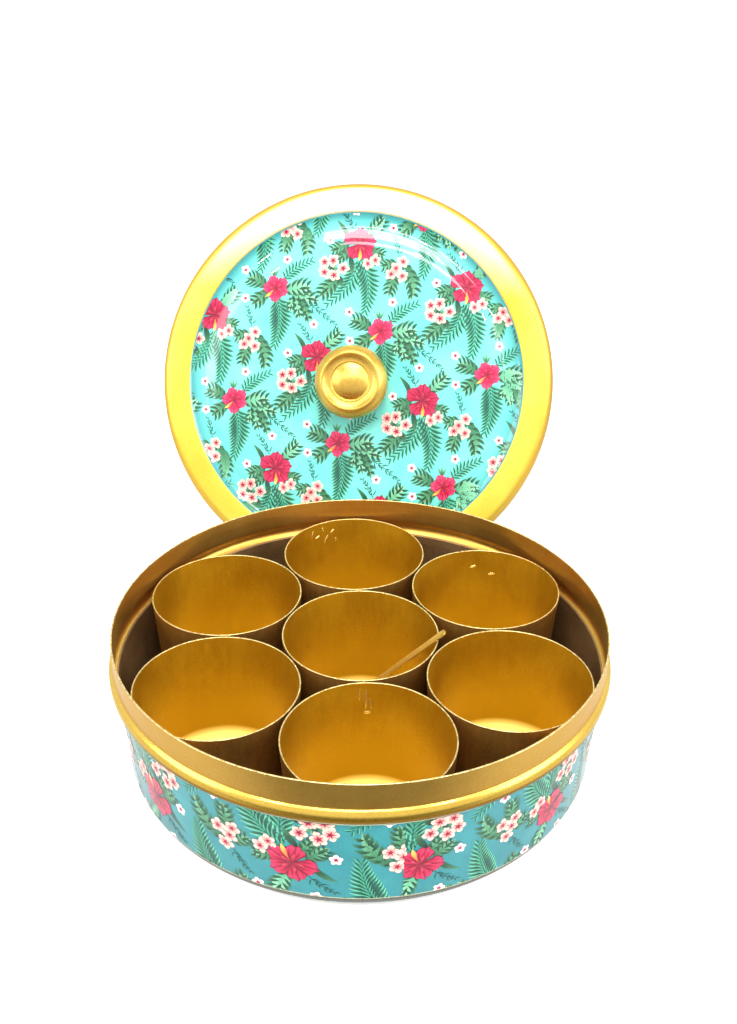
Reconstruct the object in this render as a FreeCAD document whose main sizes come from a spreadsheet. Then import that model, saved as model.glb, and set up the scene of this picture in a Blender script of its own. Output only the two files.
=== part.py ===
"""Spice box (masala dabba): a round pan with seven loose cups and a spoon, and its lid standing behind it.

Millimetres, +Z up. The origin is the middle of the pan's flat underside, on the table, and the lid is
behind the pan, towards +Y, leaning back with its knob side to the front.

Almost every piece is spun or pressed round sheet, so each is a body with one half-section, revolved.
A half-section is a loop of corners (radius, height) joined by straight runs and arcs, and every
coordinate in it is bound to the sheet of driving sizes.
"""

import FreeCAD, Part
import math
import os

import Sketcher
from FreeCAD import Placement, Rotation, Vector

SIZES = {
    # pan: one drawn sheet with a flat base, a wall that widens upwards, a bead and a plain neck
    "pan_sheet": 0.7,
    "base_radius": 91.02,
    "base_corner": 9.7,
    "wall_foot_radius": 100.705,
    "wall_foot_height": 9.164,
    "wall_top_radius": 102.84,
    "wall_top_height": 47.7,
    "bead_curve": 4.0,
    "shoulder_drop": 0.6,
    "neck_radius": 104.0,
    "neck_foot_height": 55.1,
    "pan_height": 66.2,
    # printed wrap glued round the wall
    "wrap_thickness": 0.25,
    "wrap_foot_radius": 100.57,
    "wrap_foot_height": 8.0,
    "wrap_top_height": 47.1,
    # cups
    "cup_sheet": 0.6,
    "cup_height": 55.7,
    "cup_rim_radius": 33.6,
    "cup_wall_foot_radius": 30.57,
    "cup_wall_foot_height": 10.71,
    "cup_floor_radius": 19.1,
    "cup_corner": 11.5,
    "cup_ring_radius": 68.0,
    "cup_ring_turn": 3.2,
    # lid: pressed sheet, its own Z axis out through the knob, height 0 at its open mouth
    "lid_sheet": 0.7,
    "mouth_radius": 107.6,
    "hem_height": 3.0,
    "hem_slope": 0.26,
    "shoulder_radius": 106.5,
    "shoulder_height": 12.6,
    "shoulder_curve": 5.4,
    "rim_outer_radius": 101.2,
    "rim_inner_radius": 91.3,
    "rim_height": 18.0,
    "rim_crown": 60.0,
    "print_radius": 90.3,
    "print_edge_height": 17.0,
    "valley_curve": 7.4,
    "dome_edge_radius": 81.0,
    "dome_edge_height": 14.9,
    "dome_shoulder_curve": 20.0,
    "dome_flat_radius": 72.0,
    "dome_flat_height": 17.2,
    "dome_height": 18.6,
    "dome_curve": 1850.0,
    "screw_hole_radius": 2.2,
    "print_disc_thickness": 0.8,
    "print_lip": 0.5,
    "print_valley_curve": 9.5,
    "lid_gap": 180.5,
    "lid_shift": -3.6,
    "lid_lean": 24.0,
    "lid_turn": 6.2,
    # knob, its heights measured from the top of the printed disc
    "knob_base_radius": 17.4,
    "knob_tier_radius": 18.4,
    "knob_tier_low": 1.3,
    "knob_tier_high": 3.6,
    "knob_waist_radius": 15.8,
    "knob_waist_height": 6.2,
    "knob_tier_curve": 2.6,
    "knob_belly_radius": 19.4,
    "knob_belly_height": 12.4,
    "knob_flare_curve": 9.0,
    "knob_belly_curve": 8.4,
    "knob_crest_radius": 15.2,
    "knob_crest_height": 19.0,
    "knob_crest_inner": 14.4,
    "knob_ring_radius": 11.0,
    "knob_ring_inner": 10.2,
    "knob_ring_height": 17.4,
    "knob_dish_curve": 6.0,
    "knob_groove_height": 16.9,
    "knob_groove_radius": 9.7,
    "knob_top_flat": 1.2,
    "knob_top_height": 19.6,
    "knob_dome_curve": 18.8,
    "knob_bore_radius": 2.05,
    "knob_bore_depth": 12.0,
    # screw and washer inside the lid
    "screw_radius": 2.0,
    "screw_reach": 11.4,
    "screw_head_radius": 3.7,
    "screw_head_height": 2.6,
    "screw_head_edge": 1.1,
    "screw_head_curve": 3.2,
    "screw_slot_width": 1.0,
    "screw_slot_depth": 1.1,
    "washer_radius": 7.0,
    "washer_thickness": 1.0,
    "washer_gap": 0.05,
    # spoon
    "spoon_sheet": 0.7,
    "handle_length": 60.0,
    "handle_end_width": 4.8,
    "handle_neck_width": 3.4,
    "bowl_length": 21.0,
    "bowl_width": 15.5,
    "bowl_depth": 4.6,
    "handle_end_right": 35.8,
    "handle_end_front": 4.9,
    "handle_end_height": 61.1,
    "spoon_lean": 44.5,
    "spoon_heading": 174.5,
}


class Size:
    """A size with its present value and the expression that keeps it bound to the sheet."""

    def __init__(self, value, text):
        self.value = value
        self.text = text

    def __add__(self, other):
        return Size(self.value + as_size(other).value, f"({self.text} + {as_size(other).text})")

    def __sub__(self, other):
        return Size(self.value - as_size(other).value, f"({self.text} - {as_size(other).text})")

    def __mul__(self, other):
        return Size(self.value * as_size(other).value, f"({self.text} * {as_size(other).text})")


def as_size(number):
    """number as a Size, so that plain numbers and sheet sizes mix."""
    if isinstance(number, Size):
        return number
    return Size(float(number), repr(number))


ZERO = as_size(0)


def make_sheet(document):
    """The spreadsheet of driving sizes, and one bound Size for each of its cells."""
    sheet = document.addObject("Spreadsheet::Sheet", "dims")
    for row, (alias, value) in enumerate(SIZES.items(), start=1):
        sheet.set(f"A{row}", alias)
        sheet.set(f"B{row}", str(value))
        sheet.setAlias(f"B{row}", alias)
    document.recompute()
    return {alias: Size(float(sheet.get(alias)), f"dims.{alias}") for alias in SIZES}


def origin_plane(body, role):
    """The body's own origin plane with that role."""
    return next(feature for feature in body.Origin.OriginFeatures if feature.Role == role)


def arc_centre(start, end, radius, side):
    """The centre of the arc from start to end: side 1 puts it left of the way from start to end."""
    chord = end - start
    reach = math.sqrt(radius * radius - chord.Length * chord.Length / 4)
    across = Vector(-chord.y, chord.x, 0).normalize()
    return (start + end) / 2 + across * side * reach


def bind_corner(sketch, edge, end, corner):
    """Holds one end of a sketch edge at the corner's radius and height."""
    for kind, axis, size in (("DistanceX", -2, corner[0]), ("DistanceY", -1, corner[1])):
        if size is ZERO:
            sketch.addConstraint(Sketcher.Constraint("PointOnObject", edge, end, axis))
        else:
            index = sketch.addConstraint(Sketcher.Constraint(kind, -1, 1, edge, end, size.value))
            sketch.setExpression(f"Constraints[{index}]", size.text)


def draw_loop(sketch, outline):
    """Draws a closed half-section.

    outline lists corners (radius, height), and between two corners there may be an arc,
    ("arc", radius, side), where side is 1 for a centre left of the way and -1 for right of it.
    """
    corners = []
    arcs = {}
    for item in outline:
        if item[0] == "arc":
            arcs[len(corners) - 1] = item[1:]
        else:
            corners.append(item)
    joints = []
    for number, corner in enumerate(corners):
        following = corners[(number + 1) % len(corners)]
        start = Vector(corner[0].value, corner[1].value, 0)
        end = Vector(following[0].value, following[1].value, 0)
        if number in arcs:
            radius, side = arcs[number]
            centre = arc_centre(start, end, radius.value, side)
            first, last = (start, end) if side > 0 else (end, start)
            angles = [math.atan2(point.y - centre.y, point.x - centre.x) for point in (first, last)]
            circle = Part.Circle(centre, Vector(0, 0, 1), radius.value)
            edge = sketch.addGeometry(Part.ArcOfCircle(circle, angles[0], angles[1]))
            joints.append((edge, 1, 2) if side > 0 else (edge, 2, 1))
            index = sketch.addConstraint(Sketcher.Constraint("Radius", edge, radius.value))
            sketch.setExpression(f"Constraints[{index}]", radius.text)
        else:
            edge = sketch.addGeometry(Part.LineSegment(start, end))
            joints.append((edge, 1, 2))
    for number, corner in enumerate(corners):
        edge, start_end, _ = joints[number]
        before, _, finish_end = joints[number - 1]
        sketch.addConstraint(Sketcher.Constraint("Coincident", before, finish_end, edge, start_end))
        bind_corner(sketch, edge, start_end, corner)


def turned(document, name, outline, placement=None):
    """A body of revolution about its own Z axis, from its half-section."""
    body = document.addObject("PartDesign::Body", name)
    body.Label = name
    sketch = body.newObject("Sketcher::SketchObject", f"{name}_section")
    sketch.AttachmentSupport = [(origin_plane(body, "XZ_Plane"), "")]
    sketch.MapMode = "FlatFace"
    draw_loop(sketch, outline)
    spin = body.newObject("PartDesign::Revolution", f"{name}_turn")
    spin.Profile = sketch
    spin.ReferenceAxis = (sketch, ["V_Axis"])
    spin.Angle = 360
    body.Tip = spin
    if placement is not None:
        body.Placement = placement
    return body


def pan_outline(s):
    """The pan: outside from the middle of the base up to the neck's edge, then back down inside."""
    sheet = s["pan_sheet"]
    return [
        (ZERO, ZERO),
        (s["base_radius"], ZERO),
        ("arc", s["base_corner"], 1),
        (s["wall_foot_radius"], s["wall_foot_height"]),
        (s["wall_top_radius"], s["wall_top_height"]),
        ("arc", s["bead_curve"], 1),
        (s["neck_radius"], s["neck_foot_height"]),
        (s["neck_radius"], s["pan_height"]),
        (s["neck_radius"] - sheet, s["pan_height"]),
        (s["neck_radius"] - sheet, s["neck_foot_height"] - s["shoulder_drop"]),
        ("arc", s["bead_curve"] - sheet, -1),
        (s["wall_top_radius"] - sheet, s["wall_top_height"] + s["shoulder_drop"]),
        (s["wall_foot_radius"] - sheet, s["wall_foot_height"]),
        ("arc", s["base_corner"] - sheet, -1),
        (s["base_radius"], sheet),
        (ZERO, sheet),
    ]


def wrap_outline(s):
    """The printed wrap: a thin band on the pan's sloping wall, its foot turned in round the base corner."""
    rise = s["wall_top_height"].value - s["wall_foot_height"].value
    slope = (s["wall_top_radius"] - s["wall_foot_radius"]) * (1 / rise)
    top = s["wall_foot_radius"] + slope * (s["wrap_top_height"] - s["wall_foot_height"])
    return [
        (s["wrap_foot_radius"], s["wrap_foot_height"]),
        (s["wrap_foot_radius"] + s["wrap_thickness"], s["wrap_foot_height"]),
        ("arc", s["base_corner"] + s["wrap_thickness"], 1),
        (s["wall_foot_radius"] + s["wrap_thickness"], s["wall_foot_height"]),
        (top + s["wrap_thickness"], s["wrap_top_height"]),
        (top, s["wrap_top_height"]),
        (s["wall_foot_radius"], s["wall_foot_height"]),
        ("arc", s["base_corner"], -1),
    ]


def cup_outline(s):
    """A cup: flat floor, round corner, wall that widens to a plain cut rim."""
    sheet = s["cup_sheet"]
    return [
        (ZERO, ZERO),
        (s["cup_floor_radius"], ZERO),
        ("arc", s["cup_corner"], 1),
        (s["cup_wall_foot_radius"], s["cup_wall_foot_height"]),
        (s["cup_rim_radius"], s["cup_height"]),
        (s["cup_rim_radius"] - sheet, s["cup_height"]),
        (s["cup_wall_foot_radius"] - sheet, s["cup_wall_foot_height"]),
        ("arc", s["cup_corner"] - sheet, -1),
        (s["cup_floor_radius"], sheet),
        (ZERO, sheet),
    ]


def lid_shell_outline(s):
    """The lid's sheet: skirt, rounded shoulder, wide plain rim, valley and low dome."""
    sheet = s["lid_sheet"]
    hem_inner = s["mouth_radius"] - sheet * 2
    return [
        (s["mouth_radius"], ZERO),
        (s["shoulder_radius"], s["shoulder_height"]),
        ("arc", s["shoulder_curve"], 1),
        (s["rim_outer_radius"], s["rim_height"]),
        ("arc", s["rim_crown"], 1),
        (s["rim_inner_radius"], s["rim_height"]),
        (s["print_radius"], s["print_edge_height"]),
        ("arc", s["valley_curve"], -1),
        (s["dome_edge_radius"], s["dome_edge_height"]),
        ("arc", s["dome_shoulder_curve"], 1),
        (s["dome_flat_radius"], s["dome_flat_height"]),
        ("arc", s["dome_curve"], 1),
        (s["screw_hole_radius"], s["dome_height"]),
        (s["screw_hole_radius"], s["dome_height"] - sheet),
        ("arc", s["dome_curve"] - sheet, -1),
        (s["dome_flat_radius"], s["dome_flat_height"] - sheet),
        ("arc", s["dome_shoulder_curve"] - sheet, -1),
        (s["dome_edge_radius"] - sheet * 0.4, s["dome_edge_height"] - sheet),
        ("arc", s["valley_curve"] + sheet, 1),
        (s["print_radius"] + sheet * 0.6, s["print_edge_height"] - sheet * 0.6),
        (s["rim_inner_radius"] + sheet * 0.4, s["rim_height"] - sheet),
        (s["rim_outer_radius"], s["rim_height"] - sheet),
        ("arc", s["shoulder_curve"] - sheet, -1),
        (s["shoulder_radius"] - sheet, s["shoulder_height"]),
        (hem_inner + sheet - s["hem_slope"], s["hem_height"]),
        (hem_inner - s["hem_slope"], s["hem_height"]),
        (hem_inner, ZERO),
    ]


def lid_print_outline(s):
    """The printed, clear-coated disc that lies in the lid from the dome out to the rim."""
    thick = s["print_disc_thickness"]
    return [
        (s["screw_hole_radius"], s["dome_height"]),
        ("arc", s["dome_curve"], -1),
        (s["dome_flat_radius"], s["dome_flat_height"]),
        ("arc", s["dome_shoulder_curve"], -1),
        (s["dome_edge_radius"], s["dome_edge_height"]),
        ("arc", s["valley_curve"], 1),
        (s["print_radius"], s["print_edge_height"]),
        (s["print_radius"] + s["print_lip"], s["print_edge_height"] + s["print_lip"]),
        ("arc", s["print_valley_curve"], -1),
        (s["dome_edge_radius"] + thick * 0.4, s["dome_edge_height"] + thick),
        ("arc", s["dome_shoulder_curve"] + thick, 1),
        (s["dome_flat_radius"], s["dome_flat_height"] + thick),
        ("arc", s["dome_curve"] + thick, 1),
        (s["screw_hole_radius"], s["dome_height"] + thick),
    ]


def knob_outline(s):
    """The knob: a low tier, a waist, a full belly, and a dished top with a ring and a button."""
    base = s["dome_height"] + s["print_disc_thickness"]
    return [
        (s["knob_bore_radius"], base),
        (s["knob_base_radius"], base),
        (s["knob_tier_radius"], base + s["knob_tier_low"]),
        (s["knob_tier_radius"], base + s["knob_tier_high"]),
        ("arc", s["knob_tier_curve"], 1),
        (s["knob_waist_radius"], base + s["knob_waist_height"]),
        ("arc", s["knob_flare_curve"], -1),
        (s["knob_belly_radius"], base + s["knob_belly_height"]),
        ("arc", s["knob_belly_curve"], 1),
        (s["knob_crest_radius"], base + s["knob_crest_height"]),
        (s["knob_crest_inner"], base + s["knob_crest_height"]),
        ("arc", s["knob_dish_curve"], -1),
        (s["knob_ring_radius"], base + s["knob_ring_height"]),
        (s["knob_ring_inner"], base + s["knob_ring_height"]),
        (s["knob_groove_radius"], base + s["knob_groove_height"]),
        ("arc", s["knob_dome_curve"], 1),
        (s["knob_top_flat"], base + s["knob_top_height"]),
        (ZERO, base + s["knob_top_height"]),
        (ZERO, base + s["knob_bore_depth"]),
        (s["knob_bore_radius"], base + s["knob_bore_depth"]),
    ]


def washer_top(s):
    """The height of the washer's upper face, just under the lid's sheet."""
    return s["dome_height"] - s["lid_sheet"] - s["washer_gap"]


def washer_outline(s):
    """The flat washer between the screw's head and the lid."""
    top = washer_top(s)
    low = top - s["washer_thickness"]
    return [
        (s["screw_hole_radius"], low),
        (s["washer_radius"], low),
        (s["washer_radius"], top),
        (s["screw_hole_radius"], top),
    ]


def screw_outline(s):
    """The screw: a domed head under the washer and a shank up into the knob."""
    seat = washer_top(s) - s["washer_thickness"]
    head = seat - s["screw_head_height"]
    tip = s["dome_height"] + s["print_disc_thickness"] + s["screw_reach"]
    return [
        (ZERO, head),
        ("arc", s["screw_head_curve"] * 2, 1),
        (s["screw_head_radius"], seat - s["screw_head_edge"]),
        (s["screw_head_radius"], seat),
        (s["screw_radius"], seat),
        (s["screw_radius"], tip),
        (ZERO, tip),
    ]


def lid_placement(s):
    """Where the lid stands: on the lowest point of its mouth, turned and leaning back."""
    lean = math.radians(s["lid_lean"].value)
    height = s["mouth_radius"].value * math.cos(lean)
    turn = Rotation(Vector(0, 0, 1), -s["lid_turn"].value)
    tilt = Rotation(Vector(1, 0, 0), 90 - s["lid_lean"].value)
    return Placement(Vector(s["lid_shift"].value, s["lid_gap"].value, height), turn.multiply(tilt))


def slotted_screw(document, s, placement):
    """The screw with its driver slot cut across the head."""
    body = turned(document, "knob_screw", screw_outline(s), placement)
    seat = washer_top(s) - s["washer_thickness"]
    head = seat - s["screw_head_height"]
    sketch = body.newObject("Sketcher::SketchObject", "knob_screw_slot_section")
    sketch.AttachmentSupport = [(origin_plane(body, "XZ_Plane"), "")]
    sketch.MapMode = "FlatFace"
    half = s["screw_slot_width"] * 0.5
    left = ZERO - half
    low = head - s["screw_slot_depth"]
    high = head + s["screw_slot_depth"]
    draw_loop(sketch, [(left, low), (half, low), (half, high), (left, high)])
    slot = body.newObject("PartDesign::Pocket", "knob_screw_slot")
    slot.Profile = sketch
    slot.SideType = "Symmetric"
    slot.Type = "Length"
    slot.Length = 4 * s["screw_head_radius"].value
    slot.setExpression("Length", (s["screw_head_radius"] * 4).text)
    body.Tip = slot
    return body


def cup_places(s):
    """(name, centre) of each cup: one in the middle and six round it, a little turned."""
    names = ["back_right", "back", "back_left", "front_left", "front", "front_right"]
    places = [("cup_centre", Vector(0, 0, s["pan_sheet"].value))]
    for number, name in enumerate(names):
        angle = math.radians(30 + 60 * number + s["cup_ring_turn"].value)
        ring = s["cup_ring_radius"].value
        centre = Vector(ring * math.cos(angle), ring * math.sin(angle), s["pan_sheet"].value)
        places.append((f"cup_{name}", centre))
    return places


def spoon_shape(s):
    """The spoon along +X: a shallow oval bowl at the origin's end, then a flat widening handle."""
    sheet = s["spoon_sheet"].value
    half_length = s["bowl_length"].value / 2
    half_width = s["bowl_width"].value / 2
    depth = s["bowl_depth"].value
    outer = Part.makeSphere(1.0)
    inner = Part.makeSphere(1.0)
    scale = FreeCAD.Matrix()
    scale.scale(half_length, half_width, depth)
    outer = outer.transformGeometry(scale)
    scale = FreeCAD.Matrix()
    scale.scale(half_length - sheet, half_width - sheet, depth - sheet)
    inner = inner.transformGeometry(scale)
    size = 2 * s["bowl_length"].value
    above = Part.makeBox(size, size, size, Vector(-size / 2, -size / 2, 0))
    bowl = outer.cut(inner).cut(above)
    neck = half_length - sheet * 0.9
    far = half_length + s["handle_length"].value
    neck_half = s["handle_neck_width"].value / 2
    end_half = s["handle_end_width"].value / 2
    corners = [
        Vector(neck, -neck_half, -sheet),
        Vector(far - end_half, -end_half, -sheet),
        Vector(far - end_half, end_half, -sheet),
        Vector(neck, neck_half, -sheet),
    ]
    edges = [
        Part.LineSegment(corners[0], corners[1]).toShape(),
        Part.Arc(corners[1], Vector(far, 0, -sheet), corners[2]).toShape(),
        Part.LineSegment(corners[2], corners[3]).toShape(),
        Part.LineSegment(corners[3], corners[0]).toShape(),
    ]
    handle = Part.Face(Part.Wire(edges)).extrude(Vector(0, 0, sheet))
    return bowl.fuse(handle).removeSplitter()


def make_spoon(document, s):
    """The spoon, leaning in the middle cup with its handle over the cup's right-hand rim."""
    spoon = document.addObject("Part::Feature", "spoon")
    spoon.Label = "spoon"
    spoon.Shape = spoon_shape(s)
    lean = s["spoon_lean"].value
    heading = math.radians(s["spoon_heading"].value)
    turn = Rotation(Vector(0, 0, 1), s["spoon_heading"].value + 180)
    tilt = Rotation(Vector(0, 1, 0), -lean)
    along = s["bowl_length"].value / 2 + s["handle_length"].value
    end = Vector(
        s["handle_end_right"].value,
        -s["handle_end_front"].value,
        s["handle_end_height"].value,
    )
    across = along * math.cos(math.radians(lean))
    drop = along * math.sin(math.radians(lean))
    start = end + Vector(across * math.cos(heading), across * math.sin(heading), -drop)
    spoon.Placement = Placement(start, turn.multiply(tilt))
    return spoon


def check(document, pieces):
    """Stops if any object failed or any piece has no valid solid."""
    for item in document.Objects:
        if "Invalid" in item.State or "Error" in item.State:
            raise RuntimeError(f"{item.Name} failed: {item.State}")
    for piece in pieces:
        if piece.Shape.isNull() or not piece.Shape.isValid() or not piece.Shape.Solids:
            raise RuntimeError(f"{piece.Label} has no valid solid")


def main():
    document = FreeCAD.newDocument("spice_box")
    s = make_sheet(document)
    pieces = [
        turned(document, "pan", pan_outline(s)),
        turned(document, "side_print_wrap", wrap_outline(s)),
    ]
    for name, centre in cup_places(s):
        pieces.append(turned(document, name, cup_outline(s), Placement(centre, Rotation())))
    stand = lid_placement(s)
    for name, outline in (
        ("lid_shell", lid_shell_outline(s)),
        ("lid_print_disc", lid_print_outline(s)),
        ("knob", knob_outline(s)),
        ("knob_washer", washer_outline(s)),
    ):
        pieces.append(turned(document, name, outline, stand))
    pieces.append(slotted_screw(document, s, stand))
    pieces.append(make_spoon(document, s))
    document.recompute()
    check(document, pieces)
    os.makedirs("parts", exist_ok=True)
    for piece in pieces:
        piece.Shape.exportStep(f"parts/{piece.Label}.step")
        box = piece.Shape.BoundBox
        low = f"{box.XMin:.1f} {box.YMin:.1f} {box.ZMin:.2f}"
        high = f"{box.XMax:.1f} {box.YMax:.1f} {box.ZMax:.1f}"
        print(f"{piece.Label}: {len(piece.Shape.Solids)} solid, {low} to {high}")


main()
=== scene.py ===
"""Spice box (masala dabba): a gold pan with a floral printed band, seven gold cups and a spoon, and its
lid standing behind it on edge with its knob side to the front.

Sizes below are millimetres, and meshes are made in metres in the CAD model's own frame.
"""

import math

import bpy
from mathutils import Matrix, Vector


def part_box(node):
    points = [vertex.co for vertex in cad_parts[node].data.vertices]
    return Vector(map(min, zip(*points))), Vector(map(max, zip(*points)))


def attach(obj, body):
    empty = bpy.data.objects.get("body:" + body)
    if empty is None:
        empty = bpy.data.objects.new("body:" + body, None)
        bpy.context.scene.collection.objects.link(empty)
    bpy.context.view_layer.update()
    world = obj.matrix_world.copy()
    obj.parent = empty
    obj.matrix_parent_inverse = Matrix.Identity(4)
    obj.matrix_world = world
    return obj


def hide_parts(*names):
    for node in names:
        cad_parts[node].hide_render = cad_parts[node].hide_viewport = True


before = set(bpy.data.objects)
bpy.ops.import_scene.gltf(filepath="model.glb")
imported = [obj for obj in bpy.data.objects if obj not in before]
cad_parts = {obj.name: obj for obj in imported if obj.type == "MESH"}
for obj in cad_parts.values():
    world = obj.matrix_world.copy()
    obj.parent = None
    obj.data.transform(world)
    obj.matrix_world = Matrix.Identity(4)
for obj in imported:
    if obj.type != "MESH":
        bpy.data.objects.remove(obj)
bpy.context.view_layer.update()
MM = 0.001

# ---------------------------------------------------------------- sizes of the pieces

CUPS = [
    "cup_centre",
    "cup_back_right",
    "cup_back",
    "cup_back_left",
    "cup_front_left",
    "cup_front",
    "cup_front_right",
]
LID_LEAN = math.radians(24.0)
LID_TURN = math.radians(6.2)
# The pan: (radius, height) of the wall's foot and top, which the bead stands out from.
PAN_SHEET = 0.7
BASE_RADIUS = 91.02
BASE_CORNER = 9.7
WALL_FOOT = (100.705, 9.164)
WALL_TOP = (102.84, 47.7)
NECK_RADIUS = 104.0
NECK_FOOT = 55.1
PAN_HEIGHT = 66.2
WRAP_THICK = 0.25
WRAP_LOW = 8.0
WRAP_HIGH = 47.1
# A cup, all seven alike: (radius, height) of its wall's foot and of its rim.
CUP_SHEET = 0.6
CUP_FLOOR_RADIUS = 19.1
CUP_CORNER = 11.5
CUP_WALL_FOOT = (30.57, 10.71)
CUP_RIM = (33.6, 55.7)
# The lid, in its own frame: heights over its mouth.
WASHER_MIDDLE = 17.35
DOME_TOP = 18.6
PRINT_THICK = 0.8
SCREW_HOLE = 2.2
# The spoon, in its own frame along the handle from the middle of the bowl.
SPOON_LEAN = math.radians(44.5)
SPOON_HEADING = math.radians(174.5)
SPOON_END = Vector((35.8, -4.9, 61.1))
SPOON_REACH = 70.5
HANDLE_START = 13.0
HANDLE_END = 70.4
HANDLE_NECK_HALF = 1.75
HANDLE_END_ROUND = 2.4


def middle(node):
    """The middle of a CAD node's box, in millimetres."""
    low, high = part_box(node)
    return (Vector(low) + Vector(high)) / 2 / MM


def lid_matrix():
    """The lid's own frame: origin in the middle of its mouth, +Z out through the knob."""
    normal = Vector(
        (
            -math.sin(LID_TURN) * math.cos(LID_LEAN),
            -math.cos(LID_TURN) * math.cos(LID_LEAN),
            math.sin(LID_LEAN),
        )
    )
    across = Vector((math.cos(LID_TURN), -math.sin(LID_TURN), 0.0))
    up = normal.cross(across)
    matrix = Matrix((across, up, normal)).transposed().to_4x4()
    matrix.translation = (middle("knob_washer") - normal * WASHER_MIDDLE) * MM
    return matrix


LID = lid_matrix()

# ---------------------------------------------------------------- half-sections and turning


def arc_points(a, b, radius, side, step=0.45, most=8.0):
    """Points from a to b on an arc: side 1 has the centre left of the way, -1 right of it."""
    ax, ay, bx, by = *a, *b
    chord = math.hypot(bx - ax, by - ay)
    reach = math.sqrt(max(radius * radius - chord * chord / 4, 0.0)) * side
    cx = (ax + bx) / 2 - (by - ay) / chord * reach
    cy = (ay + by) / 2 + (bx - ax) / chord * reach
    first = math.atan2(ay - cy, ax - cx)
    sweep = math.atan2(by - cy, bx - cx) - first
    if side > 0:
        while sweep < 0:
            sweep += 2 * math.pi
    else:
        while sweep > 0:
            sweep -= 2 * math.pi
    count = max(3, math.ceil(abs(sweep) * radius / step), math.ceil(abs(math.degrees(sweep)) / most))
    count = min(count, 60)
    angles = [first + sweep * k / count for k in range(1, count)]
    return [(cx + radius * math.cos(t), cy + radius * math.sin(t)) for t in angles]


def section(*items):
    """Points of a half-section from corners (r, z) or (r, z, rounding).

    ("arc", radius, side) between two corners joins them by an arc.
    """
    corners = [item for item in items if item[0] != "arc"]
    arcs = {}
    seen = 0
    for item in items:
        if item[0] == "arc":
            arcs[seen - 1] = item[1:]
        else:
            seen += 1
    points = []
    for k, corner in enumerate(corners):
        points.append((corner[0], corner[1], corner[2] if len(corner) > 2 else 0.0))
        if k in arcs:
            following = corners[(k + 1) % len(corners)]
            for r, z in arc_points(corner[:2], following[:2], *arcs[k]):
                points.append((r, z, 0.0))
    smooth = []
    for k, (r, z, rounding) in enumerate(points):
        if not rounding:
            smooth.append((r, z))
            continue
        before, after = points[k - 1], points[(k + 1) % len(points)]
        ends = []
        for other in (before, after):
            length = math.hypot(other[0] - r, other[1] - z)
            share = min(rounding / length, 0.5)
            ends.append((r + (other[0] - r) * share, z + (other[1] - z) * share))
        for step in range(5):
            t = step / 4
            smooth.append(
                tuple(
                    (1 - t) ** 2 * ends[0][i] + 2 * t * (1 - t) * (r, z)[i] + t * t * ends[1][i]
                    for i in (0, 1)
                )
            )
    return smooth


def stand(name, data):
    """A new object in the scene, with this mesh, lamp or camera."""
    thing = bpy.data.objects.new(name, data)
    bpy.context.scene.collection.objects.link(thing)
    return thing


def put(name, verts, faces, matrix=None, origin=None, sharp=35.0):
    """A mesh object from millimetre points, smooth but for edges sharper than that angle.

    matrix moves the points themselves; origin, in metres, is where the object's own frame stands.
    """
    mesh = bpy.data.meshes.new(name)
    mesh.from_pydata([(x * MM, y * MM, z * MM) for x, y, z in verts], [], faces)
    if matrix is not None:
        mesh.transform(matrix)
    mesh.validate()
    mesh.polygons.foreach_set("use_smooth", [True] * len(mesh.polygons))
    mesh.set_sharp_from_angle(angle=math.radians(sharp))
    thing = stand(name, mesh)
    if origin is not None:
        thing.location = origin
        bpy.context.view_layer.update()
    return thing


def paint(thing, materials):
    """Gives an object these materials, the first one on every face."""
    for material in materials:
        thing.data.materials.append(material)


def faces_inward(face):
    """Whether a face of a turned mesh looks towards its axis."""
    return face.normal.x * face.center.x + face.normal.y * face.center.y < 0


def turn(name, points, segments, matrix=None, origin=None):
    """A closed half-section turned about Z."""
    verts = []
    rings = []
    for r, z in points:
        if r < 1e-6:
            rings.append([len(verts)] * segments)
            verts.append((0.0, 0.0, z))
        else:
            rings.append(list(range(len(verts), len(verts) + segments)))
            for k in range(segments):
                angle = 2 * math.pi * k / segments
                verts.append((r * math.cos(angle), r * math.sin(angle), z))
    faces = []
    for index, ring in enumerate(rings):
        following = rings[(index + 1) % len(rings)]
        if ring[0] == ring[1] and following[0] == following[1]:
            continue
        for k in range(segments):
            n = (k + 1) % segments
            corners = [ring[k], ring[n], following[n], following[k]]
            face = [c for i, c in enumerate(corners) if c != corners[i - 1]]
            faces.append(face)
    return put(name, verts, faces, matrix, origin)


# ---------------------------------------------------------------- materials


def colour(text):
    """A linear colour from an sRGB hex."""
    parts = [int(text[i : i + 2], 16) / 255 for i in (1, 3, 5)]
    return tuple(p / 12.92 if p <= 0.04045 else ((p + 0.055) / 1.055) ** 2.4 for p in parts) + (1.0,)


def set_stops(ramp, stops):
    """Gives a new colour ramp these (position, colour) stops."""
    elements = ramp.color_ramp.elements
    elements[0].position, elements[0].color = stops[0]
    elements[1].position, elements[1].color = stops[-1]
    for position, shade in stops[1:-1]:
        elements.new(position).color = shade


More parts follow.
